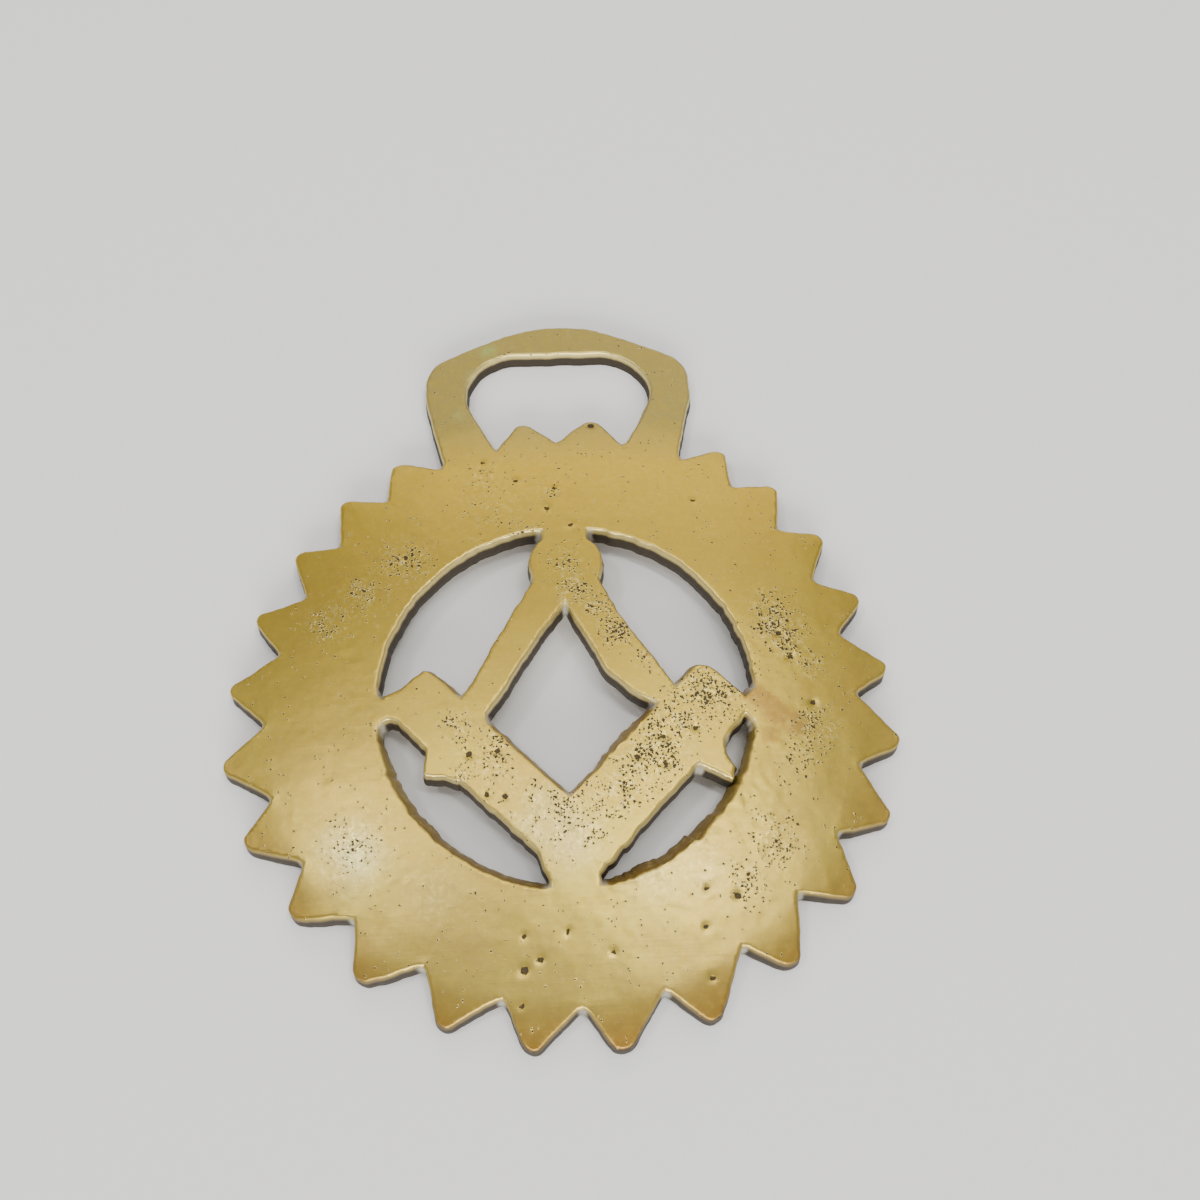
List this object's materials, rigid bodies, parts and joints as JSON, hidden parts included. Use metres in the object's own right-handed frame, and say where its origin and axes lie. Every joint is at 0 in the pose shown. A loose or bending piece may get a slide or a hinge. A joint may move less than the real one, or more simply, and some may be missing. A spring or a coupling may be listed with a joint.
{
  "type": "horse brass",
  "caption": "Cast brass harness ornament: a domed disc with a toothed rim, pierced with compasses over a set-square, and a flat hanger for a strap.",
  "frame": {"origin": "middle of the footprint, on the surface that the brass lies on", "axes": "+Z out of the domed face, +Y towards the hanger, +X to the right seen from the front"},
  "size_m": [0.0754, 0.0906, 0.006],
  "materials": {
    "brass": "aged, hand-polished"
  },
  "bodies": {
    "root": {"horse_brass": "brass"}
  },
  "joints": []
}
